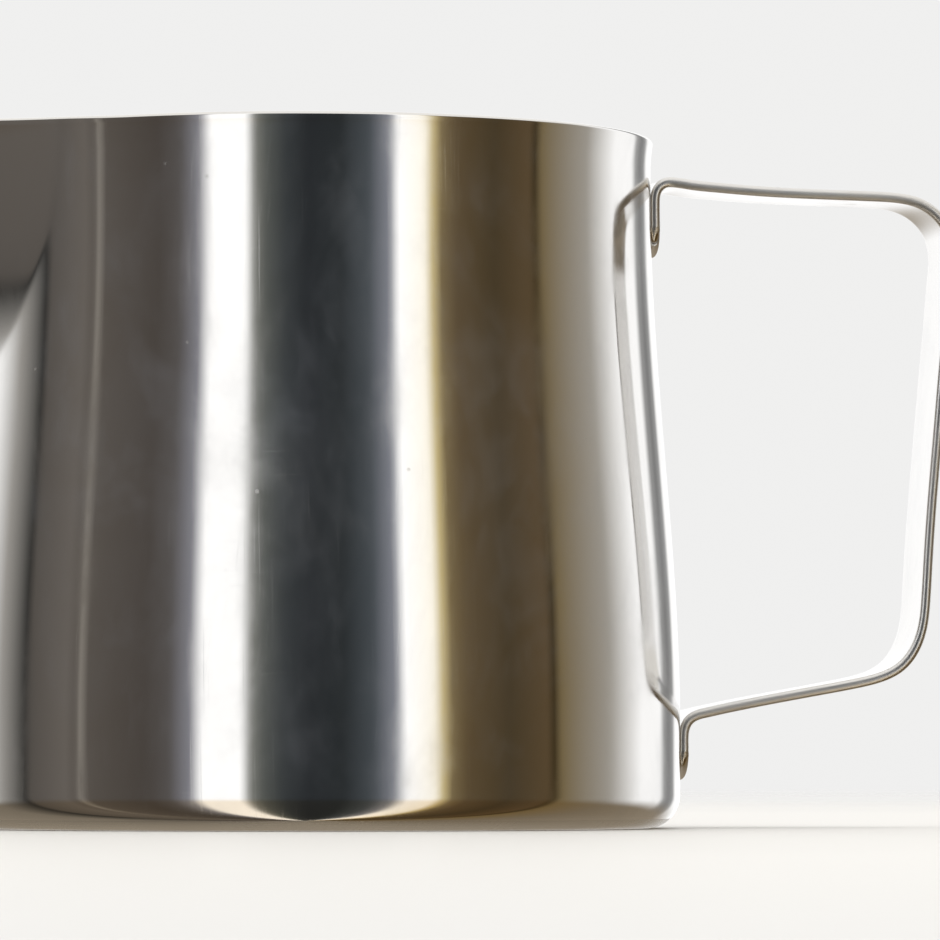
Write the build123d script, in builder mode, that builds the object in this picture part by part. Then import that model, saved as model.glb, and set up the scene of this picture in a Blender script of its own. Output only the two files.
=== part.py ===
from build123d import *

import math
import os

# Milk frothing pitcher, about 0.6 litre, in polished stainless steel.
# Millimetres. The origin is the centre of the base on the table plane, +Z is up,
# the handle stands on +X and the pouring spout points to -X.
# The pitcher is symmetric about the XZ plane.

# ---------------------------------------------------------------- body dimensions
WALL = 0.9  # sheet thickness
BASE_R = 49.95  # largest outer radius, just above the base corner
CORNER_R = 4.4  # outer radius between wall and base
FOOT_IN_R = 41.0  # inner radius of the flat foot ring
RECESS = 0.8  # the middle of the base is pressed up by this much
RECESS_R = 38.6  # radius where the pressed-up middle is flat

NECK_R = 46.10  # outer radius below the rim
NECK_FROM_Z = 14.0  # where the wall starts to draw in
NECK_TO_Z = 84.0  # where the wall is upright again
RIM_Z = 91.5  # rim height away from the spout
RIM_FLARE = 0.35  # the rim opens outwards by this much
RIM_FLARE_FROM_Z = 87.5

# ---------------------------------------------------------------- spout dimensions
SPOUT_FOOT_Z = 53.0  # where the spout starts; the body below is round
SPOUT_HALF_ANGLE = 38.0  # half width at the rim, degrees about the axis
NOSE_R_RIM = 9.0  # radius of the pouring lip, seen from above
NOSE_R_FOOT = 15.0  # the same at the foot of the spout
REACH_RIM = 1.08  # factor on how far the nose stands out at the rim
REACH_GAIN = 0.22  # added to that factor below the rim
REACH_GAIN_DROP = 0.6  # share of the spout height over which it is added
MAX_DROP = 0.999  # keeps the crease angle above zero at the foot
LIP_FLARE = 1.1  # the pouring lip curls outwards by this much
LIP_FLARE_FROM_Z = 79.0

# Heights of the sections above the foot of the spout; the last ones pass the rim.
SECTION_Z = [
    53.5, 54.6, 56.4, 59.0, 62.0, 65.5, 69.0, 72.5,
    76.0, 79.5, 82.5, 85.5, 88.0, 90.0, 92.0, 96.0,
]
# Start and end angle of each arc of the round section at the foot of the spout,
# in degrees: cheek, nose, cheek, round wall.
FOOT_ARCS = [(175.0, 177.5), (177.5, 182.5), (182.5, 185.0), (185.0, 535.0)]

# Rim line over the spout: x, height above RIM_Z. It climbs towards the tip.
LIP_RISE = [(-28.0, 0.0), (-38.0, 0.40), (-48.0, 0.98), (-58.0, 1.6)]
LIP_END_SLOPE = 0.06
# The block that trims the rim; its straight lower edge goes on from the rim line.
TRIM_SPOUT_X = -80.0
TRIM_SPOUT_RISE = LIP_RISE[-1][1] + 1.3  # above RIM_Z, at TRIM_SPOUT_X
TRIM_HANDLE_X = 70.0
TRIM_TOP_Z = 110.0
TRIM_HALF_WIDTH = 80.0

# ---------------------------------------------------------------- spot weld dimensions
NUGGET_R = 1.7
NUGGET_IN_TAB = 0.75  # how far a nugget reaches outwards from the wall surface
NUGGET_IN_WALL = 0.45  # depth of the pocket in the wall
NUGGET_Y = 2.9  # offset of each nugget from the middle of the tab
NUGGET_FIT = 0.02  # clearance around a nugget in its pocket
UPPER_NUGGET_Z = 81.0
LOWER_NUGGET_Z = 10.2
WALL_POCKET_CUT = 2.0  # length of the cut, clear of the wall
TAB_POCKET_LEAD = 1.0  # the cut into the tab starts this far inside the wall surface

# ---------------------------------------------------------------- handle dimensions
STRAP_W = 12.0
STRAP_T = 1.35
STRAP_EDGE = 0.42  # how far the rounded edges stand proud of the square section
STRAP_CROWN = 0.06  # crown of the strip across its width
STRAP_TURN = 7.0  # degrees turned between neighbouring sections
STRAP_REACH = 6.0  # longest distance between neighbouring sections
STRAP_STEPS = 3000  # steps along the strip when looking for the sections
STRAP_HALF_FLAT = STRAP_W / 2 - STRAP_EDGE

TAB_GAP = 0.06  # sheet separation between tab and wall
TAB_BLEND = 3.2  # distance from the wall over which the tab shape fades out
TAB_SPLIT_Z = 45.0  # below this the strip belongs to the lower tab
UPPER_TAB_END_Z = 76.5
LOWER_TAB_END_Z = 6.3
TAB_EXTRA = 0.8  # the strip runs past each tab end and is then cut back
TONGUE_SAG = 3.7  # depth of the rounded tongue at each tab end
TONGUE_CUT_MARGIN = 3.0  # the tongue cut passes the strip by this much
TONGUE_CUT_X = 40.0  # the tongue cut starts here
TONGUE_CUT = 13.0  # and is this long


# ---------------------------------------------------------------- wall shape
def smooth(x):
    """Smooth step from 0 to 1."""
    x = min(1.0, max(0.0, x))
    return x * x * (3.0 - 2.0 * x)


def flare(z, amount, from_z):
    """Outward curl that grows from nothing at from_z to amount at the rim."""
    return amount * (max(0.0, z - from_z) / (RIM_Z - from_z)) ** 2


def wall_r(z):
    """Outer radius of the round part of the wall at height z."""
    neck = smooth((z - NECK_FROM_Z) / (NECK_TO_Z - NECK_FROM_Z))
    return BASE_R - (BASE_R - NECK_R) * neck + flare(z, RIM_FLARE, RIM_FLARE_FROM_Z)


def spout_shape(z):
    """Plan of the spout at height z: distance of the nose centre from the axis, nose radius,
    direction square to the flat cheek and crease angle. Both angles are from -X, in radians."""
    wall = wall_r(z)
    drop = min(MAX_DROP, max(0.0, (RIM_Z - z) / (RIM_Z - SPOUT_FOOT_Z)))
    crease = math.radians(SPOUT_HALF_ANGLE) * math.sqrt(1.0 - drop * drop)
    nose_r = NOSE_R_RIM + (NOSE_R_FOOT - NOSE_R_RIM) * drop
    reach = REACH_RIM + REACH_GAIN * smooth(drop / REACH_GAIN_DROP)
    push = reach * (wall - nose_r) * (1.0 / math.cos(crease) - 1.0)
    push += flare(z, LIP_FLARE, LIP_FLARE_FROM_Z)
    centre = wall + push - nose_r
    # the flat cheek runs from the crease on the round wall and touches the nose circle
    ahead = centre - wall * math.cos(crease)
    aside = wall * math.sin(crease)
    cheek = math.atan2(ahead, aside) + math.asin(nose_r / math.hypot(ahead, aside))
    return centre, nose_r, cheek, crease


def plan_points(z, inset):
    """Crease, cheek end and nose of the section at height z, on the +Y side."""
    centre, nose_r, cheek, crease = spout_shape(z)
    nose_r -= inset
    inset_r = wall_r(z) - inset
    # distance from the axis to the line of the cheek
    cheek_distance = wall_r(z) * math.cos(crease - cheek) - inset
    crease_angle = cheek - math.acos(min(1.0, cheek_distance / inset_r))
    return (
        (-inset_r * math.cos(crease_angle), inset_r * math.sin(crease_angle)),
        (-centre - nose_r * math.cos(cheek), nose_r * math.sin(cheek)),
        (-centre - nose_r, 0.0),
    )


def mirrored(point):
    return (point[0], -point[1])


def spout_section(z, inset):
    """Face of the formed upper body at height z: round wall, cheek, nose, cheek."""
    crease, cheek, nose = plan_points(z, inset)
    with BuildSketch(Plane.XY.offset(z)) as section:
        with BuildLine():
            Line(crease, cheek)
            ThreePointArc(cheek, nose, mirrored(cheek))
            Line(mirrored(cheek), mirrored(crease))
            ThreePointArc(mirrored(crease), (wall_r(z) - inset, 0), crease)
        make_face()
    return section.sketch


def foot_section(inset):
    """Round face at the foot of the spout, its edge divided like the sections above it."""
    # made from edges because a sketch would merge the four arcs into one circle
    plane = Plane.XY.offset(SPOUT_FOOT_Z)
    radius = wall_r(SPOUT_FOOT_Z) - inset
    return Face(Wire([Edge.make_circle(radius, plane, start, end) for start, end in FOOT_ARCS]))


def upper_sections(inset):
    return [foot_section(inset)] + [spout_section(z, inset) for z in SECTION_Z]


def lower_side(inset, count=14):
    """Points up the wall of the round lower body, as radius and height."""
    step = (SPOUT_FOOT_Z - CORNER_R) / count
    heights = [CORNER_R + step * i for i in range(count)] + [SPOUT_FOOT_Z]
    return [(wall_r(z) - inset, z) for z in heights]


def nugget_planes(z, offset):
    """The two nugget planes at height z, facing outwards, offset from the wall surface."""
    planes = []
    for y in (-NUGGET_Y, NUGGET_Y):
        angle = math.asin(y / wall_r(z))
        outward = Vector(math.cos(angle), math.sin(angle), 0)
        origin = outward * (wall_r(z) + offset) + Vector(0, 0, z)
        planes.append(Plane(origin=origin, z_dir=outward))
    return planes


# ---------------------------------------------------------------- body shell
def make_body_shell():
    """One deep-drawn sheet: base with a raised middle, corner radius, bell wall,
    rim and the pouring spout pressed into the rim opposite the handle."""
    foot_slope = (wall_r(SPOUT_FOOT_Z + 0.01) - wall_r(SPOUT_FOOT_Z - 0.01)) / 0.02
    corner_x = BASE_R - CORNER_R
    # the sections are made here so that their sketches don't join the part below
    skins = [
        (0.0, Mode.ADD, upper_sections(0.0)),
        (WALL, Mode.SUBTRACT, upper_sections(WALL)),
    ]
    with BuildPart() as body:
        # the solid body, then its cavity; each has a round lower and a formed upper half
        for inset, mode, sections in skins:
            side = lower_side(inset)
            with BuildSketch(Plane.XZ):
                with BuildLine():
                    Polyline(
                        (0, RECESS + inset),
                        (RECESS_R, RECESS + inset),
                        (FOOT_IN_R, inset),
                        (corner_x, inset),
                    )
                    CenterArc((corner_x, CORNER_R), CORNER_R - inset, -90, 90)
                    Spline(*side, tangents=[(0, 1), (foot_slope, 1)])
                    Polyline(side[-1], (0, SPOUT_FOOT_Z), (0, RECESS + inset))
                make_face()
            revolve(axis=Axis.Z, mode=mode)
            loft(sections=sections, mode=mode)

        # trim the rim: level all round, climbing gently towards the tip of the spout
        rim_line = [(x, RIM_Z + rise) for x, rise in LIP_RISE]
        with BuildSketch(Plane.XZ):
            with BuildLine():
                Line((TRIM_HANDLE_X, RIM_Z), rim_line[0])
                Spline(*rim_line, tangents=[(-1, 0), (-1, LIP_END_SLOPE)])
                Polyline(
                    rim_line[-1],
                    (TRIM_SPOUT_X, RIM_Z + TRIM_SPOUT_RISE),
                    (TRIM_SPOUT_X, TRIM_TOP_Z),
                    (TRIM_HANDLE_X, TRIM_TOP_Z),
                    (TRIM_HANDLE_X, RIM_Z),
                )
            make_face()
        extrude(amount=TRIM_HALF_WIDTH, both=True, mode=Mode.SUBTRACT)

        # pockets that the weld nuggets grow into
        for z in (UPPER_NUGGET_Z, LOWER_NUGGET_Z):
            for plane in nugget_planes(z, -NUGGET_IN_WALL):
                with BuildSketch(plane):
                    Circle(NUGGET_R + NUGGET_FIT)
                extrude(amount=WALL_POCKET_CUT, mode=Mode.SUBTRACT)
    return body.part


# ---------------------------------------------------------------- handle strap
def tab_x(z):
    """Centre of the strip's thickness where it lies along the wall."""
    return wall_r(z) + TAB_GAP + STRAP_T / 2


def tab_points(*heights):
    return [(tab_x(z), z) for z in heights]


# Centre line of the strip as x, z: from the upper tab up, round the loop
# and down to the end of the lower tab.
STRAP_PATH = [
    *tab_points(UPPER_TAB_END_Z - TAB_EXTRA, 78.5, 81.0, 83.4),
    # bend away from the wall
    (46.92, 84.60), (47.32, 85.55), (48.10, 86.18), (49.30, 86.42),
    # top run
    (51.20, 86.22), (55.00, 85.86), (60.00, 85.50), (66.00, 85.24), (72.00, 85.08),
    # upper outer bend
    (77.00, 84.96), (80.50, 84.72), (83.20, 84.02), (85.50, 82.42), (87.00, 80.10),
    # grip
    (87.52, 77.30), (87.34, 74.40), (86.68, 67.00), (85.98, 59.50),
    (85.22, 51.00), (84.56, 43.50), (84.02, 36.00), (83.68, 30.50),
    # lower outer bend
    (83.22, 26.90), (82.10, 23.90), (80.10, 21.50), (77.30, 20.10),
    # bottom run
    (73.80, 19.24), (68.50, 18.26), (63.00, 17.26), (57.50, 16.20),
    # bend down onto the wall
    (53.90, 15.42), (52.20, 14.86), (51.15, 13.98), (50.74, 12.80),
    *tab_points(11.2, 9.0, 7.0, LOWER_TAB_END_Z - TAB_EXTRA),
]


def strap_sag(x, z):
    """How far the strip's edges bend back across its width. The face that looks outwards at
    the upper tab looks at the wall at the lower tab, so the sign changes; the loop has a
    slight crown outwards."""
    hug = STRAP_HALF_FLAT**2 / (2.0 * x)
    if z < TAB_SPLIT_Z:
        hug = -hug
    on_tab = 1.0 - smooth((x - tab_x(z)) / TAB_BLEND)
    return -STRAP_CROWN + (hug + STRAP_CROWN) * on_tab


def strap_stations(path):
    """Section places along the path, 0 to 1: close together in the bends, wider apart
    on the straights."""
    stations = [0.0]
    heading = path % 0.0
    for i in range(1, STRAP_STEPS + 1):
        place = i / STRAP_STEPS
        cosine = max(-1.0, min(1.0, (path % place).dot(heading)))
        turned = math.degrees(math.acos(cosine))
        if turned >= STRAP_TURN or (place - stations[-1]) * path.length >= STRAP_REACH:
            stations.append(place)
            heading = path % place
    stations[-1] = 1.0
    return stations


def make_handle_strap():
    """One strip bent into a rounded loop. Each end is a tab that follows the wall
    and ends in a rounded tongue."""
    with BuildLine() as centre_line:
        Spline(*[(x, 0, z) for x, z in STRAP_PATH], tangents=[(0, 0, 1), (0, 0, -1)])
    path = centre_line.edges()[0]
    half_w = STRAP_W / 2
    flat = STRAP_HALF_FLAT

    with BuildPart() as strap:
        for place in strap_stations(path):
            centre = path @ place
            sag = strap_sag(centre.X, centre.Z)
            # heights of the two faces at their edges; their middles are at +-STRAP_T / 2
            top = -sag + STRAP_T / 2
            bottom = -sag - STRAP_T / 2
            # the section's y points away from the wall at the upper tab, into the loop after it
            with BuildSketch(Plane(origin=centre, x_dir=(0, -1, 0), z_dir=path % place)):
                with BuildLine():
                    ThreePointArc((-flat, top), (0, STRAP_T / 2), (flat, top))
                    ThreePointArc((flat, top), (half_w, -sag), (flat, bottom))
                    ThreePointArc((flat, bottom), (0, -STRAP_T / 2), (-flat, bottom))
                    ThreePointArc((-flat, bottom), (-half_w, -sag), (-flat, top))
                make_face()
        loft(ruled=True)

        # cut the tab ends back to rounded tongues
        cut_y = half_w + TONGUE_CUT_MARGIN
        for end_z in (UPPER_TAB_END_Z, LOWER_TAB_END_Z):
            side_z = end_z + TONGUE_SAG
            with BuildSketch(Plane.YZ.offset(TONGUE_CUT_X)):
                with BuildLine():
                    ThreePointArc((-half_w, side_z), (0, end_z), (half_w, side_z))
                    Polyline(
                        (half_w, side_z),
                        (cut_y, side_z),
                        (cut_y, end_z - TONGUE_CUT_MARGIN),
                        (-cut_y, end_z - TONGUE_CUT_MARGIN),
                        (-cut_y, side_z),
                        (-half_w, side_z),
                    )
                make_face()
            extrude(amount=TONGUE_CUT, mode=Mode.SUBTRACT)

        # pockets that the weld nuggets grow into
        pocket_cut = TAB_POCKET_LEAD + NUGGET_IN_TAB + NUGGET_FIT
        for z in (UPPER_NUGGET_Z, LOWER_NUGGET_Z):
            for plane in nugget_planes(z, -TAB_POCKET_LEAD):
                with BuildSketch(plane):
                    Circle(NUGGET_R + NUGGET_FIT)
                extrude(amount=pocket_cut, mode=Mode.SUBTRACT)
    return strap.part


# ---------------------------------------------------------------- spot welds
def make_spot_welds(z):
    """Two fused nuggets side by side between tab and wall, at height z."""
    with BuildPart() as welds:
        for plane in nugget_planes(z, -NUGGET_IN_WALL + NUGGET_FIT):
            with BuildSketch(plane):
                Circle(NUGGET_R)
            extrude(amount=NUGGET_IN_WALL + NUGGET_IN_TAB - NUGGET_FIT)
    return welds.part


# ---------------------------------------------------------------- export
pieces = {
    "body_shell": make_body_shell(),
    "handle_strap": make_handle_strap(),
    "upper_tab_spot_welds": make_spot_welds(UPPER_NUGGET_Z),
    "lower_tab_spot_welds": make_spot_welds(LOWER_NUGGET_Z),
}
os.makedirs("parts", exist_ok=True)
for name, piece in pieces.items():
    piece.label = name
    export_step(piece, f"parts/{name}.step")
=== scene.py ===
"""Stainless steel pitcher with a bent strap handle, on a pale floor.

The pitcher stands on z = 0 with its axis on Z, the spout towards -X and the handle towards +X.
The camera looks from the -Y side. Shapes are worked out in millimetres and built in metres.
"""
import math

import bpy
import bmesh
import numpy as np
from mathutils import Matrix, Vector


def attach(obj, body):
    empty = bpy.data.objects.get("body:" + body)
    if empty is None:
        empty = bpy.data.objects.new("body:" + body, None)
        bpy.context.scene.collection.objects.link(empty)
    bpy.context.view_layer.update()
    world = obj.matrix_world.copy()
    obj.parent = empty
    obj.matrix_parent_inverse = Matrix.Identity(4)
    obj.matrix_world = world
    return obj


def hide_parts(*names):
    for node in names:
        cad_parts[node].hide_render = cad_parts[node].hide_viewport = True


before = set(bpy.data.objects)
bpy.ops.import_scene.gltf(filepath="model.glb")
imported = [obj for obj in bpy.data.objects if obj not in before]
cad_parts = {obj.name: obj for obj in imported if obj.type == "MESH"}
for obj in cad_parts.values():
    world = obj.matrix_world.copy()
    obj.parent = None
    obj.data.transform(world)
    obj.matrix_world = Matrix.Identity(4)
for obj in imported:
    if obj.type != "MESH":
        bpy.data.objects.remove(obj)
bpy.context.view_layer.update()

# ------------------------------------------------------------------ dimensions, millimetres
# wall: narrows from the base to the neck, with a small flare at the rim
BASE_R, NECK_R, NECK_FROM, NECK_TO = 49.95, 46.10, 14.0, 84.0
RIM_Z, RIM_FLARE, RIM_FLARE_FROM = 91.5, 0.35, 87.5
WALL = 0.9
LIP_R = WALL / 2
CORNER_R = 4.4
RIM_LIFT_FROM = 78.0  # wall rows above this height follow the climbing rim

# underside: a raised middle with two pressed rings; the shoulder leads down to the foot ring
RECESS, SHOULDER_FROM, SHOULDER_TO = 0.8, 37.7, 41.5
PRESSED_RINGS, PRESSED_HEIGHT, PRESSED_WIDTH = (13.0, 27.0), 0.10, 0.8

# spout: half angle in degrees at the rim, nose radius at the rim and at the lower tip
SPOUT_TIP_Z, SPOUT_HALF, NOSE_R_RIM, NOSE_R_TIP = 53.0, 38.0, 9.0, 15.0
REACH_RIM, REACH_GAIN, REACH_DROP = 1.08, 0.22, 0.6
LIP_FLARE, LIP_FLARE_FROM = 1.1, 79.0
CREASE_SOFT, CREASE_FADE = 0.035, 7.0

# handle strap; its tabs lie on the wall and end in rounded tongues
STRAP_W, STRAP_T, STRAP_EDGE, STRAP_CROWN = 12.0, 1.35, 0.42, 0.06
HALF_T = STRAP_T / 2
FLAT_HALF = STRAP_W / 2 - STRAP_EDGE
HUG_FADE = 3.2  # the strap stops following the wall's curve this far from it
TAB_GAP, TAB_END_SAG, END_ROUND = 0.06, 3.7, 0.45
TONGUE_R = ((STRAP_W / 2) ** 2 + TAB_END_SAG**2) / (2 * TAB_END_SAG)
TONGUE_CORNER, TONGUE_CORNER_SLOPE = 5.75, 2.2
UPPER_TAB_END_Z, LOWER_TAB_END_Z = 76.5, 6.3
PATH_INSET = 0.8  # the strap's centre line runs this far below each tab end
UPPER_SHAPED, LOWER_SHAPED = 6.6, 4.6  # height of the part drawn into a tongue

# two spot welds side by side on each tab
NUGGET_Y, UPPER_NUGGET_Z, LOWER_NUGGET_Z = 2.9, 81.0, 10.2
MARK_R, MARK_RIDGE, MARK_RIDGE_R, MARK_RIDGE_W = 1.35, 0.35, 1.9, 0.35
MARK_DEPTH = 0.05

TURN = 10.0  # degrees the camera and its surroundings are swung about the vertical


# ------------------------------------------------------------------ shared helpers
def smooth(x):
    x = np.clip(x, 0.0, 1.0)
    return x * x * (3.0 - 2.0 * x)


def hermite(t, span, y0, slope0, y1, slope1):
    """Cubic through y0 and y1 with the given slopes; t runs from 0 to 1 over the span."""
    return (
        (2 * t**3 - 3 * t**2 + 1) * y0
        + (t**3 - 2 * t**2 + t) * span * slope0
        + (-2 * t**3 + 3 * t**2) * y1
        + (t**3 - t**2) * span * slope1
    )


def band_faces(rings, size, first=0, flip=False):
    """Quads between successive closed rings of points."""
    faces = []
    for ring in range(rings - 1):
        a = first + ring * size
        b = a + size
        for i in range(size):
            k = (i + 1) % size
            if flip:
                faces.append((a + i, a + k, b + k, b + i))
            else:
                faces.append((a + i, b + i, b + k, a + k))
    return faces


def make_mesh(name, points, faces, smooth_shade=True):
    mesh = bpy.data.meshes.new(name)
    mesh.from_pydata((np.asarray(points) / 1000.0).tolist(), [], faces)
    mesh.validate()
    mesh.polygons.foreach_set("use_smooth", [smooth_shade] * len(mesh.polygons))
    mesh.update()
    ob = bpy.data.objects.new(name, mesh)
    bpy.context.scene.collection.objects.link(ob)
    return ob


def tidy(ob, gap=1.0e-6):
    """Merge corners that coincide, drop faces with no area and turn every face outwards."""
    bm = bmesh.new()
    bm.from_mesh(ob.data)
    bmesh.ops.remove_doubles(bm, verts=bm.verts[:], dist=gap)
    bmesh.ops.dissolve_degenerate(bm, edges=bm.edges[:], dist=gap)
    bmesh.ops.recalc_face_normals(bm, faces=bm.faces[:])
    if bm.calc_volume(signed=True) < 0.0:
        bmesh.ops.reverse_faces(bm, faces=bm.faces[:])
    bm.to_mesh(ob.data)
    bm.free()
    ob.data.update()


def register(ob, piece):
    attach(ob, "root")
    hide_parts(piece)


# ------------------------------------------------------------------ wall, spout and rim
def wall_r(z):
    z = np.asarray(z, float)
    r = BASE_R - (BASE_R - NECK_R) * smooth((z - NECK_FROM) / (NECK_TO - NECK_FROM))
    return r + RIM_FLARE * (np.maximum(z - RIM_FLARE_FROM, 0.0) / (RIM_Z - RIM_FLARE_FROM)) ** 2


def spout_r(psi, z):
    """Radius of the spout surface at angle psi from its middle plane.

    In plan the spout is a round nose with two straight cheeks that meet the wall at creases.
    """
    wall = wall_r(z)
    drop = np.clip((RIM_Z - z) / (RIM_Z - SPOUT_TIP_Z), 0.0, 0.999)
    crease = math.radians(SPOUT_HALF) * np.sqrt(1.0 - drop * drop)
    nose = NOSE_R_RIM + (NOSE_R_TIP - NOSE_R_RIM) * drop
    reach = REACH_RIM + REACH_GAIN * smooth(drop / REACH_DROP)
    push = reach * (wall - nose) * (1.0 / np.cos(crease) - 1.0)
    lip = np.maximum(z - LIP_FLARE_FROM, 0.0) / (RIM_Z - LIP_FLARE_FROM)
    push = push + LIP_FLARE * lip**2
    centre = wall + push - nose
    # direction square to the cheek, and the cheek's distance from the axis
    back, aside = centre - wall * np.cos(crease), wall * np.sin(crease)
    square = np.arctan2(back, aside)
    square = square + np.arcsin(np.clip(nose / np.hypot(back, aside), -1, 1))
    cheek_off = centre * np.cos(square) + nose
    angle = np.abs(psi)
    touch = np.arctan2(nose * np.sin(square), centre + nose * np.cos(square))
    across = centre * np.sin(angle)
    on_nose = centre * np.cos(angle) + np.sqrt(np.maximum(nose * nose - across * across, 0.0))
    cheek = cheek_off / np.cos(np.clip(angle - square, -1.2, 1.2))
    beyond = 2.0 * cheek_off - cheek
    return np.where(angle < touch, on_nose, np.where(angle < square, cheek, beyond))


def body_r(psi, z):
    """Outer radius of the body; the creases beside the spout are softened."""
    wall = wall_r(z)
    spout = spout_r(psi, z)
    soft = CREASE_SOFT * smooth((z - SPOUT_TIP_Z) / CREASE_FADE)
    blended = 0.5 * (wall + spout + np.sqrt((wall - spout) ** 2 + soft**2))
    return np.where(z > SPOUT_TIP_Z, blended, wall)


# distance towards -X, climb of the rim there, slope of the climb
RIM_CLIMB = np.array([
    (28.0, 0.0, 0.0), (38.0, 0.40, 0.049), (48.0, 0.98, 0.060), (58.0, 1.60, 0.060),
])


def rim_z(x):
    """Height of the rim above x; it climbs gently towards the tip of the spout."""
    at, climb, slope = RIM_CLIMB.T
    span = at[1] - at[0]
    d = np.clip(-x, at[0], at[-1])
    i = np.clip(np.searchsorted(at, d, side="right") - 1, 0, len(at) - 2)
    y = hermite((d - at[i]) / span, span, climb[i], slope[i], climb[i + 1], slope[i + 1])
    return RIM_Z + y + slope[-1] * np.maximum(-x - at[-1], 0.0)


def column_angles():
    """Angles from +X round the body, close together at the spout and behind the handle tabs."""
    angles = [0.0]
    while True:
        degrees = math.degrees(angles[-1]) % 360.0
        to_spout = abs(degrees - 180.0)
        to_tab = min(degrees, 360.0 - degrees)
        if to_spout < 46:
            step = 0.36
        elif to_spout < 52:
            step = 0.6
        else:
            step = 0.5 if to_tab < 11 else 1.0
        following = angles[-1] + math.radians(step)
        if following > 2.0 * math.pi - math.radians(0.25):
            return np.array(angles)
        angles.append(following)


THETA = column_angles()
PSI = THETA - math.pi  # angle from the spout's middle plane


def ring_at(z):
    """Outer points and outward plan normals of the wall, with one height z per column."""
    step = 2e-4

    def plan(offset):
        r = body_r(PSI + offset, z)
        return np.stack([r * np.cos(THETA + offset), r * np.sin(THETA + offset)], 1)

    tangent = plan(step) - plan(-step)
    tangent /= np.linalg.norm(tangent, axis=1)[:, None]
    return plan(0.0), np.stack([tangent[:, 1], -tangent[:, 0]], 1)


def weld_mark(x, y, z, nugget_z):
    """Depth of the two faint weld marks at height nugget_z, on the +X side."""
    depth = 0.0
    for side in (-1, 1):
        q = np.sqrt((y - side * NUGGET_Y) ** 2 + (z - nugget_z) ** 2)
        depth = depth + np.exp(-((q / MARK_R) ** 4))
        depth = depth - MARK_RIDGE * np.exp(-(((q - MARK_RIDGE_R) / MARK_RIDGE_W) ** 2))
    return MARK_DEPTH * np.where(x > 0, depth, 0.0)


# ------------------------------------------------------------------ body: one closed sheet
# radii of the rings under the base: from, up to, step
UNDER_SPANS = [
    (1.5, 11.0, 1.5), (11.0, 15.2, 0.35), (16.0, 25.0, 1.5),
    (25.0, 29.2, 0.35), (30.0, 37.5, 1.5), (37.6, 41.8, 0.22),
]
UNDER_RADII = [0.35, *np.concatenate([np.arange(*s) for s in UNDER_SPANS]), 42.2, 43.0, 44.0, 45.0]
WALL_HEIGHTS = [*np.arange(5.2, 50.0, 1.2), *np.arange(50.2, 90.9, 0.42), RIM_Z - LIP_R]


def under_z(r):
    z = RECESS * (1.0 - float(smooth((r - SHOULDER_FROM) / (SHOULDER_TO - SHOULDER_FROM))))
    for ring_r in PRESSED_RINGS:
        z += PRESSED_HEIGHT * math.exp(-(((r - ring_r) / PRESSED_WIDTH) ** 2))
    return z


def flat_ring(r, z):
    return np.stack([r * np.cos(THETA), r * np.sin(THETA), np.full_like(THETA, z)], 1)


def corner_rings(radius, degrees):
    """Rings round the bottom corner; 0 degrees points down and 90 outwards."""
    return [
        flat_ring(BASE_R - CORNER_R + radius * math.sin(a), CORNER_R - radius * math.cos(a))
        for a in np.radians(degrees)
    ]


def column_heights(z):
    """Height of each column's point on wall row z; the top rows follow the climbing rim."""
    share = smooth((z - RIM_LIFT_FROM) / (RIM_Z - LIP_R - RIM_LIFT_FROM))
    heights = np.full_like(THETA, z)
    for _ in range(3):
        top = rim_z(body_r(PSI, heights) * np.cos(THETA))
        heights = z + (top - RIM_Z) * share
    return heights


def build_body():
    """Rings run from the middle of the underside up the outside, over the lip and back inside."""
    rings = [flat_ring(r, under_z(r)) for r in UNDER_RADII]
    rings += corner_rings(CORNER_R, np.linspace(0.0, 90.0, 25))

    wall_rows = []
    for row_z in WALL_HEIGHTS:
        z = column_heights(row_z)
        plan, normal = ring_at(z)
        wall_rows.append((plan, normal, z))
        rings.append(np.column_stack([plan, z]))

    # the lip is a plain half round on top of the last wall row
    middle = plan - normal * LIP_R
    for a in np.radians(np.linspace(0.0, 180.0, 13)[1:-1]):
        across = middle + normal * LIP_R * math.cos(a)
        rings.append(np.column_stack([across, z + LIP_R * math.sin(a)]))

    # inside wall, with the faint weld marks behind the tabs
    for plan, normal, z in reversed(wall_rows):
        inner = plan - normal * WALL
        x, y = inner.T
        dent = weld_mark(x, y, z, UPPER_NUGGET_Z) + weld_mark(x, y, z, LOWER_NUGGET_Z)
        rings.append(np.column_stack([inner + normal * dent[:, None], z]))
    rings += corner_rings(CORNER_R - WALL, np.linspace(90.0, 0.0, 21))
    rings += [flat_ring(r, under_z(r) + WALL) for r in reversed(UNDER_RADII)]

    size = len(THETA)
    faces = band_faces(len(rings), size, flip=True)
    low_centre = len(rings) * size
    last_ring = low_centre - size
    for i in range(size):
        k = (i + 1) % size
        faces.append((low_centre, k, i))
        faces.append((low_centre + 1, last_ring + i, last_ring + k))
    centres = [[0, 0, under_z(0.0)], [0, 0, under_z(0.0) + WALL]]
    return make_mesh("pitcher_body", np.vstack([*rings, centres]), faces)


body = build_body()
register(body, "body_shell")


# ------------------------------------------------------------------ handle: one bent strip
def tab_line(z):
    """Distance of the strap's middle from the axis where it lies on the wall."""
    return wall_r(z) + TAB_GAP + HALF_T


def on_wall(*heights):
    return [(float(tab_line(z)), z) for z in heights]


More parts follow.
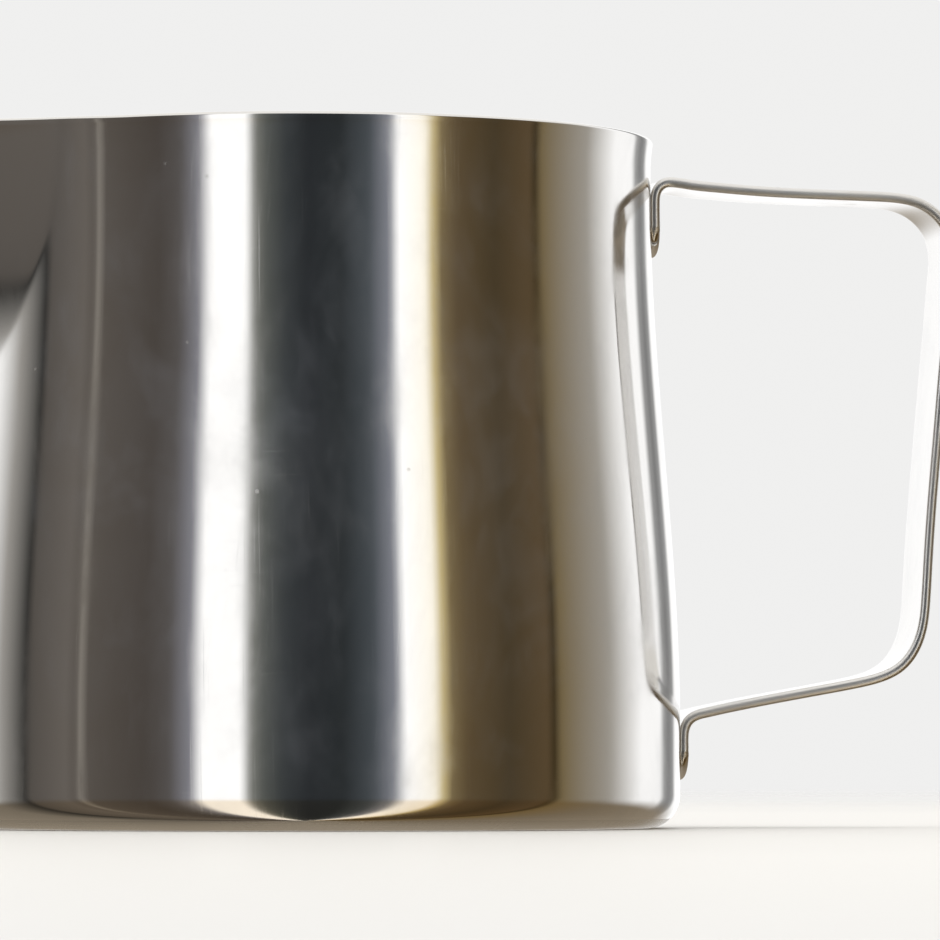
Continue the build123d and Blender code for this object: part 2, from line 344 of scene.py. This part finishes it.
# centre line of the strap from the upper tab end to the lower one: x, z
PATH = np.array([
    *on_wall(UPPER_TAB_END_Z - PATH_INSET, 78.5, 81.0, 83.4),
    (46.92, 84.60), (47.32, 85.55), (48.10, 86.18), (49.30, 86.42), (51.20, 86.22),
    (55.00, 85.86), (60.00, 85.50), (66.00, 85.24), (72.00, 85.08), (77.00, 84.96),
    (80.50, 84.72), (83.20, 84.02), (85.50, 82.42), (87.00, 80.10), (87.52, 77.30),
    (87.34, 74.40), (86.68, 67.00), (85.98, 59.50), (85.22, 51.00), (84.56, 43.50),
    (84.02, 36.00), (83.68, 30.50), (83.22, 26.90), (82.10, 23.90), (80.10, 21.50),
    (77.30, 20.10), (73.80, 19.24), (68.50, 18.26), (63.00, 17.26), (57.50, 16.20),
    (53.90, 15.42), (52.20, 14.86), (51.15, 13.98), (50.74, 12.80),
    *on_wall(11.2, 9.0, 7.0, LOWER_TAB_END_Z - PATH_INSET),
])


def spline_through(points, start, end):
    """Clamped cubic spline by chord length.

    Returns a function that gives points and unit directions, and the total chord length.
    """
    chord = np.linalg.norm(np.diff(points, axis=0), axis=1)
    knots = np.concatenate([[0.0], np.cumsum(chord)])
    count = len(knots)
    h = np.diff(knots)
    matrix = np.zeros((count, count))
    right = np.zeros((count, 2))
    matrix[0, 0] = matrix[-1, -1] = 1.0
    right[0], right[-1] = start, end
    for i in range(1, count - 1):
        before, after = h[i - 1], h[i]
        matrix[i, i - 1 : i + 2] = after, 2 * (before + after), before
        right[i] = 3 * (
            before * (points[i + 1] - points[i]) / after
            + after * (points[i] - points[i - 1]) / before
        )
    slopes = np.linalg.solve(matrix, right)

    def at(s):
        i = np.clip(np.searchsorted(knots, s, side="right") - 1, 0, count - 2)
        t = ((s - knots[i]) / h[i])[:, None]
        span = h[i][:, None]
        place = hermite(t, span, points[i], slopes[i], points[i + 1], slopes[i + 1])
        d = (6 * t**2 - 6 * t) * points[i] / span + (3 * t**2 - 4 * t + 1) * slopes[i]
        d = d + (-6 * t**2 + 6 * t) * points[i + 1] / span + (3 * t**2 - 2 * t) * slopes[i + 1]
        return place, d / np.linalg.norm(d, axis=1)[:, None]

    return at, knots[-1]


def pick_stations(centre_line, length, max_turn=2.0, max_step=0.9, min_last=0.25):
    """Places of the sections along the strap, close together in the bends."""
    grid = np.linspace(0.0, length, 6001)
    _, direction = centre_line(grid)
    stations, last = [0.0], 0
    for i in range(1, len(grid)):
        cosine = max(-1.0, min(1.0, float(direction[i] @ direction[last])))
        if math.degrees(math.acos(cosine)) >= max_turn or grid[i] - grid[last] >= max_step:
            stations.append(float(grid[i]))
            last = i
    if length - stations[-1] > min_last:
        stations.append(length)
    else:
        stations[-1] = length
    return np.array(stations)


centre_line, LENGTH = spline_through(PATH, np.array([0.0, 1.0]), np.array([0.0, -1.0]))
STATIONS = pick_stations(centre_line, LENGTH)
CENTRE, DIRECTION = centre_line(STATIONS)
# away from the wall at the upper tab, into the loop after it, towards the wall at the lower tab
NORMAL = np.column_stack([DIRECTION[:, 1], -DIRECTION[:, 0]])

# one section: two flat faces joined by long edges rounded to an ellipse
FACE_POINTS, ARC_STEPS = 19, 16
face_y = np.linspace(-FLAT_HALF, FLAT_HALF, FACE_POINTS)
face_n = np.full(FACE_POINTS, HALF_T)
arc = np.radians(np.linspace(90.0, -90.0, ARC_STEPS + 1)[1:-1])
edge_y = FLAT_HALF + STRAP_EDGE * np.cos(arc)
edge_n = HALF_T * np.sin(arc)
SECTION_Y = np.concatenate([face_y, edge_y, -face_y, -edge_y])
SECTION_N = np.concatenate([face_n, edge_n, -face_n, -edge_n])
BOW_SHARE = (np.minimum(np.abs(SECTION_Y), FLAT_HALF) / FLAT_HALF) ** 2


def section_bow(x, z):
    """Offset of the section's points: it hugs the wall near it and is slightly crowned away."""
    hug = FLAT_HALF**2 / (2.0 * x)
    if z < 45.0:
        hug = -hug
    near = 1.0 - float(smooth((x - float(tab_line(z))) / HUG_FADE))
    return -(-STRAP_CROWN + (hug + STRAP_CROWN) * near) * BOW_SHARE


def section_points(centre, normal):
    offset = SECTION_N + section_bow(*centre)
    x, z = centre[0] + normal[0] * offset, centre[1] + normal[1] * offset
    return np.column_stack([x, SECTION_Y, z])


def tongue(y, end_z):
    """Height of the tab's rounded end at y, with its two corners eased."""
    inner = np.minimum(np.abs(y), TONGUE_CORNER)
    corner = np.maximum(np.abs(y) - TONGUE_CORNER, 0.0) * TONGUE_CORNER_SLOPE
    return end_z + TONGUE_R - np.sqrt(TONGUE_R**2 - inner**2) + corner


def finish_tab(strip, end, end_z, shaped, nugget_z):
    """Draw one tab end (0 upper, -1 lower) into a tongue, mark its welds, return its caps."""
    from_end = np.abs(STATIONS - STATIONS[end])
    hold_z = end_z + shaped
    outline = tongue(SECTION_Y, end_z)
    # points slide along the wall, the more the nearer they are to the end
    for i in np.flatnonzero((from_end < 12) & (CENTRE[:, 1] < hold_z)):
        old_z = CENTRE[i, 1]
        share = (hold_z - old_z) / (hold_z - CENTRE[end, 1])
        new_z = hold_z + (outline + END_ROUND - hold_z) * share
        strip[i, :, 0] += tab_line(new_z) - float(tab_line(old_z))
        strip[i, :, 2] += new_z - old_z

    # faint weld marks on the face away from the wall
    sign = NORMAL[end, 0]
    marked = (SECTION_N * sign > 0) & (np.abs(SECTION_Y) < FLAT_HALF - 0.1)
    on_tab = np.abs(CENTRE[:, 0] - tab_line(CENTRE[:, 1])) < 0.6
    for i in np.flatnonzero((from_end < 14) & on_tab):
        strip[i, :, 0] -= np.where(marked, weld_mark(*strip[i].T, nugget_z), 0.0)

    # the end is rounded over until its two faces meet
    bow = section_bow(*CENTRE[end])
    caps = []
    for a in np.radians(np.linspace(0.0, 90.0, 8)[1:]):
        z = outline + END_ROUND * (1.0 - math.sin(a))
        x = tab_line(z) + sign * (SECTION_N * math.cos(a) + bow)
        caps.append(np.column_stack([x, SECTION_Y, z]))
    return caps


def end_faces(first, flip):
    """Close an end with strips that join each point j to the one opposite it, 2 * half - j."""
    arc_half = ARC_STEPS // 2
    half = FACE_POINTS - 1 + arc_half
    size = len(SECTION_Y)
    faces = []
    for j in (*range(half), *range(2 * half, 2 * half + arc_half)):
        corners = (j, j + 1, 2 * half - 1 - j, 2 * half - j)
        # the strip at the middle of each edge has a repeated corner and is a triangle
        face = tuple(dict.fromkeys(first + c % size for c in corners))
        faces.append(face[::-1] if flip else face)
    return faces


def build_handle():
    strip = np.stack([section_points(c, n) for c, n in zip(CENTRE, NORMAL)])
    upper_caps = finish_tab(strip, 0, UPPER_TAB_END_Z, UPPER_SHAPED, UPPER_NUGGET_Z)
    lower_caps = finish_tab(strip, -1, LOWER_TAB_END_Z, LOWER_SHAPED, LOWER_NUGGET_Z)
    loops = [*reversed(upper_caps), *strip, *lower_caps]
    size = len(SECTION_Y)
    faces = band_faces(len(loops), size)
    faces += end_faces(0, flip=False)
    faces += end_faces((len(loops) - 1) * size, flip=True)
    ob = make_mesh("strap_handle", np.concatenate(loops), faces)
    tidy(ob)
    return ob


handle = build_handle()
register(handle, "handle_strap")


# ------------------------------------------------------------------ shader helpers
def lin(hex_colour):
    """Linear colour from an sRGB hex code."""
    out = []
    for i in (1, 3, 5):
        c = int(hex_colour[i : i + 2], 16) / 255.0
        out.append(c / 12.92 if c <= 0.04045 else ((c + 0.055) / 1.055) ** 2.4)
    return (*out, 1.0)


def grey(v):
    return (v, v, v, 1.0)


class Tree:
    """Short ways to add nodes; a value may be a number, a colour or an output socket."""

    def __init__(self, owner):
        owner.use_nodes = True
        self.tree = owner.node_tree
        self.tree.nodes.clear()

    def node(self, kind, inputs=None, **props):
        n = self.tree.nodes.new(kind)
        for key, value in props.items():
            setattr(n, key, value)
        for key, value in (inputs or {}).items():
            self.put(n.inputs[key], value)
        return n

    def put(self, socket, value):
        if hasattr(value, "is_output"):
            self.tree.links.new(value, socket)
        else:
            socket.default_value = value

    def math(self, op, a, b=0.0, c=0.0, clamp=False):
        inputs = {0: a, 1: b, 2: c}
        return self.node("ShaderNodeMath", inputs, operation=op, use_clamp=clamp).outputs[0]

    def add(self, a, b):
        return self.math("ADD", a, b)

    def mul(self, a, b):
        return self.math("MULTIPLY", a, b)

    def add_layers(self, base, *layers):
        """Base plus each layer times its weight."""
        for layer, weight in layers:
            base = self.add(base, self.mul(layer, weight))
        return base

    def xyz(self, vector):
        return self.node("ShaderNodeSeparateXYZ", {0: vector}).outputs

    def ramp(self, fac, stops, mode="LINEAR"):
        """Stops are (position, colour); a plain number stands for a grey."""
        n = self.node("ShaderNodeValToRGB", {0: fac})
        n.color_ramp.interpolation = mode
        elements = n.color_ramp.elements
        while len(elements) > 1:
            elements.remove(elements[-1])
        for i, (place, colour) in enumerate(stops):
            element = elements.new(place) if i else elements[0]
            element.position = place
            element.color = colour if isinstance(colour, tuple) else grey(colour)
        return n.outputs[0]

    def mix(self, fac, a, b, blend="MIX"):
        inputs = {0: fac, 6: a, 7: b}
        return self.node("ShaderNodeMix", inputs, data_type="RGBA", blend_type=blend).outputs[2]

    def mix_shader(self, fac, a, b):
        return self.node("ShaderNodeMixShader", {0: fac, 1: a, 2: b}).outputs[0]

    def scaled(self, vector, scale, turn=(0, 0, 0)):
        inputs = {"Vector": vector, "Scale": scale, "Rotation": turn}
        return self.node("ShaderNodeMapping", inputs).outputs[0]

    def noise(self, vector, scale=1.0, stretch=None, turn=(0, 0, 0), detail=2.0, rough=0.5, dist=0.0):
        if stretch:
            vector = self.scaled(vector, stretch, turn)
        inputs = {"Vector": vector, "Scale": scale, "Detail": detail}
        inputs.update({"Roughness": rough, "Distortion": dist})
        return self.node("ShaderNodeTexNoise", inputs).outputs[0]

    def bump(self, height, distance, strength, normal=None):
        inputs = {"Height": height, "Distance": distance, "Strength": strength}
        if normal is not None:
            inputs["Normal"] = normal
        return self.node("ShaderNodeBump", inputs).outputs[0]


# ------------------------------------------------------------------ steel
CLEAN, SMEARED = (0.80, 0.79, 0.775, 1.0), (0.755, 0.74, 0.72, 1.0)
SPECKED, SATIN = (0.60, 0.58, 0.55, 1.0), (0.70, 0.69, 0.67, 1.0)
SMEAR_TINT, SPECK_TINT, SATIN_TINT = 0.35, 0.6, 0.5  # how far each colour takes over
MEAN_WALL_R = 0.048  # metres; turns angle into length round the wall
# scratches: scale round the wall, scale up the wall, tilt in radians, noise level kept above
SCRATCHES = [(5200.0, 60.0, 0.02, 0.66), (4300.0, 90.0, -0.10, 0.70), (90.0, 4600.0, 0.05, 0.71)]


def wall_coordinates(t, x, y, z):
    """Metres round the wall, radius, height."""
    radius = t.math("SQRT", t.add(t.mul(x, x), t.mul(y, y)))
    around = t.mul(t.math("ARCTAN2", y, x), MEAN_WALL_R)
    return t.node("ShaderNodeCombineXYZ", {0: around, 1: radius, 2: z}).outputs[0]


def hairlines(t, wall):
    """Stretched noise with only its narrow peaks kept; most scratches run up and down."""
    total = None
    for round_scale, up_scale, tilt, level in SCRATCHES:
        tilted = t.scaled(wall, (1, 1, 1), (0, tilt, 0))
        streak = t.noise(tilted, stretch=(round_scale, 400.0, up_scale), detail=1.0, rough=0.4)
        peaks = t.math("SUBTRACT", streak, level, clamp=True)
        total = peaks if total is None else t.add(total, peaks)
    gain = 5.0
    return t.math("MULTIPLY", total, gain, clamp=True)


def dried_specks(t, pos):
    inputs = {"Vector": pos, "Scale": 210.0, "Randomness": 1.0}
    cells = t.node("ShaderNodeTexVoronoi", inputs).outputs["Distance"]
    speck = t.ramp(cells, [(0.0, 1.0), (0.045, 0.8), (0.075, 0.0)])
    gate = t.ramp(t.noise(pos, scale=90.0), [(0.0, 0.0), (0.56, 0.0), (0.62, 1.0)])
    return t.mul(speck, gate)


def satin_finish(t, x, y, z, wall, smear, rough, colour, normal):
    """Satin with fine finishing rings on the inside and the underside; heights in metres."""
    normals = t.node("ShaderNodeNewGeometry").outputs["True Normal"]
    normal_x, normal_y, normal_z = t.xyz(normals)
    # the inside wall's faces point at the axis
    facing = t.add(t.mul(normal_x, x), t.mul(normal_y, y))
    in_wall = t.mul(t.math("LESS_THAN", facing, -0.002), t.math("LESS_THAN", z, 0.0908))
    in_base = t.mul(t.math("GREATER_THAN", normal_z, 0.5), t.math("LESS_THAN", z, 0.03))
    under = t.mul(t.math("LESS_THAN", normal_z, -0.7), t.math("LESS_THAN", z, 0.003))
    satin = t.math("MAXIMUM", t.math("MAXIMUM", in_wall, in_base), under)

    wall_rings = t.noise(wall, stretch=(60.0, 60.0, 9000.0), detail=3.0, rough=0.6)
    base_rings = t.noise(wall, stretch=(60.0, 9000.0, 60.0), detail=3.0, rough=0.6)
    rings = t.mix(t.math("MAXIMUM", in_base, under), wall_rings, base_rings)
    ring_strength = 0.22
    normal = t.bump(rings, 0.00002, strength=t.mul(satin, ring_strength), normal=normal)

    satin_rough = t.add_layers(0.20, (rings, 0.14), (smear, 0.05))
    polished = t.math("SUBTRACT", 1.0, satin)
    rough = t.add(t.mul(rough, polished), t.mul(satin_rough, satin))
    return rough, t.mix(t.mul(satin, SATIN_TINT), colour, SATIN), normal


def wiping_film(t, pos, metal):
    """A thin cloudy film that scatters a little light over the mirror."""
    inputs = {"Color": (0.72, 0.76, 0.84, 1.0), "Roughness": 0.55}
    film = t.node("ShaderNodeBsdfAnisotropic", inputs).outputs[0]
    cloud = t.noise(
        pos, stretch=(48.0, 48.0, 30.0), turn=(0.4, 0.1, 0.7), detail=5.0, rough=0.62, dist=0.9
    )
    cloud = t.ramp(cloud, [(0.0, 0.0), (0.40, 0.0), (0.66, 1.0)], "EASE")
    patch = t.noise(pos, stretch=(150.0, 150.0, 110.0), detail=3.0, rough=0.6, dist=0.3)
    patch = t.ramp(patch, [(0.0, 0.4), (0.45, 0.4), (0.62, 1.0)])
    thin, cloud_weight = 0.015, 0.11
    amount = t.add_layers(thin, (t.mul(cloud, patch), cloud_weight))
    return t.mix_shader(amount, metal, film)


def steel(name, is_body=False):
    """Polished stainless steel with hairline scratches, smears and specks."""
    mat = bpy.data.materials.new(name)
    t = Tree(mat)
    pos = t.node("ShaderNodeTexCoord").outputs["Object"]
    x, y, z = t.xyz(pos)
    wall = wall_coordinates(t, x, y, z)

    hair = hairlines(t, wall)
    # smears are large and soft; the polishing grain is very fine and upright
    smear = t.noise(
        pos, stretch=(62.0, 62.0, 30.0), turn=(0.3, 0.5, 0.2), detail=6.0, rough=0.66, dist=0.5
    )
    smear = t.ramp(smear, [(0.0, 0.0), (0.44, 0.0), (0.70, 1.0)])
    grain = t.noise(wall, stretch=(9000.0, 400.0, 70.0))
    speck = dried_specks(t, pos)

    # roughness of the mirror, and what each layer adds to it
    rough = t.add_layers(0.02, (smear, 0.13), (grain, 0.05), (hair, 0.10), (speck, 0.22))
    colour = t.mix(t.mul(smear, SMEAR_TINT), CLEAN, SMEARED)
    colour = t.mix(t.mul(speck, SPECK_TINT), colour, SPECKED)

    # the sheet is very slightly wavy, and the scratches are cut into it
    wave = t.noise(wall, stretch=(34.0, 34.0, 16.0), rough=0.45)
    normal = t.bump(wave, distance=0.00006, strength=1.0)
    scratch_height = -0.5
    scratches = t.mul(hair, scratch_height)
    normal = t.bump(scratches, distance=0.000004, strength=0.25, normal=normal)

    if is_body:
        rough, colour, normal = satin_finish(t, x, y, z, wall, smear, rough, colour, normal)
    else:
        # the rounded long edges are less finely polished; the ramp runs over 10 mm from y = 0
        per_centimetre = 100.0
        edge = t.mul(t.math("ABSOLUTE", y), per_centimetre)
        edge = t.ramp(edge, [(0.0, 0.0), (0.545, 0.0), (0.57, 1.0)])
        rough = t.add_layers(rough, (edge, 0.24))
    inputs = {"Metallic": 1.0, "Roughness": rough, "Base Color": colour, "Normal": normal}
    metal = t.node("ShaderNodeBsdfPrincipled", inputs).outputs[0]
    t.node("ShaderNodeOutputMaterial", {0: wiping_film(t, pos, metal)})
    return mat


body.data.materials.append(steel("polished_steel_body", is_body=True))
handle.data.materials.append(steel("polished_steel_handle"))
weld_steel = steel("weld_steel")
for name in ("upper_tab_spot_welds", "lower_tab_spot_welds"):
    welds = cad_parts[name]
    welds.data.materials.clear()
    welds.data.materials.append(weld_steel)


# ------------------------------------------------------------------ floor
def build_floor(radius=2400.0, size=96, rings=24, spread=1.6):
    """Disc whose rings lie closer together towards the middle."""
    points = [(0.0, 0.0, 0.0)]
    for j in range(1, rings + 1):
        r = radius * (j / rings) ** spread
        for i in range(size):
            a = 2 * math.pi * i / size
            points.append((r * math.cos(a), r * math.sin(a), 0.0))
    faces = [(0, 1 + i, 1 + (i + 1) % size) for i in range(size)]
    faces += band_faces(rings, size, first=1)
    return make_mesh("floor", points, faces, smooth_shade=False)


def floor_material():
    """Pale, fading to clear with distance; clear from below, so the base can be seen."""
    mat = bpy.data.materials.new("pale_floor")
    t = Tree(mat)
    inputs = {"Base Color": (0.84, 0.832, 0.815, 1.0), "Roughness": 0.55}
    pale = t.node("ShaderNodeBsdfPrincipled", inputs).outputs[0]
    clear = t.node("ShaderNodeBsdfTransparent").outputs[0]
    pos = t.node("ShaderNodeTexCoord").outputs["Object"]
    distance = t.node("ShaderNodeVectorMath", {0: pos}, operation="LENGTH").outputs["Value"]
    per_two_metres = 0.5
    stops = [(0.0, 0.0), (0.14, 0.0), (0.48, 0.7), (0.95, 1.0)]
    fade = t.ramp(t.mul(distance, per_two_metres), stops, "EASE")
    from_below = t.node("ShaderNodeNewGeometry").outputs["Backfacing"]
    fade = t.math("MAXIMUM", fade, from_below)
    t.node("ShaderNodeOutputMaterial", {0: t.mix_shader(fade, pale, clear)})
    return mat


floor = build_floor()
floor.location = (0.0, 0.0, -0.00005)
floor.data.materials.append(floor_material())
floor.visible_glossy = False

# ------------------------------------------------------------------ studio around the pitcher
BACKDROP = (0.87, 0.868, 0.862, 1.0)  # what the camera sees directly
CEILING = (1.02, 1.0, 0.96, 1.0)
TABLE_TINT = (0.90, 0.80, 0.66, 1.0)
WHITE, WINDOW = grey(1.18), grey(1.35)
# azimuth in degrees (0 towards the camera, positive to its right), colour of the room there
FRONT = [
    (-93, lin("#343331")), (-90, lin("#5c5752")), (-76, lin("#6e6862")), (-72, lin("#625c56")),
    (-70, lin("#918b83")), (-68, lin("#5e5852")), (-48, lin("#4e4843")), (-40, lin("#5a5654")),
    (-33.5, lin("#8a8a92")), (-29.5, WINDOW), (-18, WINDOW), (-15, lin("#83847e")),
    (-11, lin("#585b58")), (-5, lin("#3a3e40")), (2, lin("#2a2d30")), (13, lin("#2c3032")),
    (22, lin("#4a5055")), (29, lin("#8b8e98")), (32, WINDOW), (40.5, (1.3, 1.24, 1.1, 1.0)),
    (43.5, lin("#d9c68e")), (46.5, lin("#7d6c4b")), (52, lin("#5f4f36")), (66, lin("#4a3e2a")),
    (80, lin("#5e4d35")), (83, lin("#41351f")), (86, lin("#7e6e4e")),
]
SIDES = [
    (-180, WHITE), (-116, WHITE), (-104, lin("#a5a29d")), *FRONT,
    (108, lin("#a9a49b")), (126, WHITE),
]
LOW = [
    (-180, lin("#aaa6a0")), (-110, lin("#85817b")), *FRONT,
    (110, lin("#857d70")), (180, lin("#aaa6a0")),
]
# a dim upright band behind and to the camera's right
DOOR_AZIMUTH, DOOR_HALF, DOOR_STRENGTH, DOOR_COLOUR = 150.0, 10.0, 0.85, lin("#4c4c4b")


def build_world():
    world = bpy.data.worlds.new("studio")
    bpy.context.scene.world = world
    t = Tree(world)
    to_degrees = 180.0 / math.pi
    x, y, z = t.xyz(t.node("ShaderNodeTexCoord").outputs["Generated"])
    azimuth = t.mul(t.math("ARCTAN2", x, t.mul(y, -1.0)), to_degrees)
    azimuth = t.math("WRAP", t.add(azimuth, TURN), 180.0, -180.0)
    around = t.add(t.math("DIVIDE", azimuth, 360.0), 0.5)
    elevation = t.mul(t.math("ARCSINE", z), to_degrees)

    def room_ramp(stops):
        return t.ramp(around, [((degrees + 180.0) / 360.0, c) for degrees, c in stops])

    side = room_ramp(SIDES)
    from_door = t.math("ABSOLUTE", t.math("SUBTRACT", azimuth, DOOR_AZIMUTH))
    from_door = t.math("DIVIDE", from_door, DOOR_HALF)
    door = t.ramp(from_door, [(0.0, 1.0), (0.45, 0.9), (1.0, 0.0)], "EASE")
    side = t.mix(t.mul(door, DOOR_STRENGTH), side, DOOR_COLOUR)

    above = t.math("DIVIDE", elevation, 90.0)
    above = t.ramp(above, [(0.0, 0.0), (0.26, 0.0), (0.44, 1.0), (1.0, 1.0)], "EASE")
    room = t.mix(above, side, CEILING)
    # below the horizon lies a darker, warmer copy of the room
    below = t.math("DIVIDE", t.mul(elevation, -1.0), 90.0)
    below = t.ramp(below, [(0.0, 0.0), (0.05, 0.0), (0.22, 1.0), (1.0, 1.0)], "EASE")
    table = t.mix(1.0, room_ramp(LOW), TABLE_TINT, blend="MULTIPLY")
    room = t.mix(below, room, table)

    seen = t.node("ShaderNodeLightPath").outputs["Is Camera Ray"]
    inputs = {"Color": t.mix(seen, room, BACKDROP), "Strength": 1.0}
    background = t.node("ShaderNodeBackground", inputs).outputs[0]
    t.node("ShaderNodeOutputWorld", {0: background})


def add_overhead_light():
    light = bpy.data.lights.new("overhead", "AREA")
    light.shape = "DISK"
    light.size = 1.1
    light.energy = 6.0
    light.color = (1.0, 0.985, 0.96)
    lamp = bpy.data.objects.new("overhead", light)
    lamp.location = (-0.1, -0.15, 1.5)
    lamp.visible_glossy = False
    bpy.context.scene.collection.objects.link(lamp)


# camera, metres, before it is swung by TURN
CAMERA_X, CAMERA_Y, CAMERA_Z, TARGET_Z = 0.022, -0.950, 0.008, 0.0477


def swung(x, y, z):
    turn = math.radians(-TURN)
    cos, sin = math.cos(turn), math.sin(turn)
    return Vector((x * cos - y * sin, x * sin + y * cos, z))


def add_camera():
    lens = bpy.data.cameras.new("camera")
    lens.sensor_width = 36.0
    lens.lens = 273.0
    lens.clip_start = 0.01
    lens.clip_end = 20.0
    camera = bpy.data.objects.new("camera", lens)
    camera.location = swung(CAMERA_X, CAMERA_Y, CAMERA_Z)
    look = swung(CAMERA_X, 0.0, TARGET_Z) - camera.location
    camera.rotation_euler = look.to_track_quat("-Z", "Y").to_euler()
    bpy.context.scene.collection.objects.link(camera)
    bpy.context.scene.camera = camera


build_world()
add_overhead_light()
add_camera()
bpy.context.scene.view_settings.view_transform = "Standard"
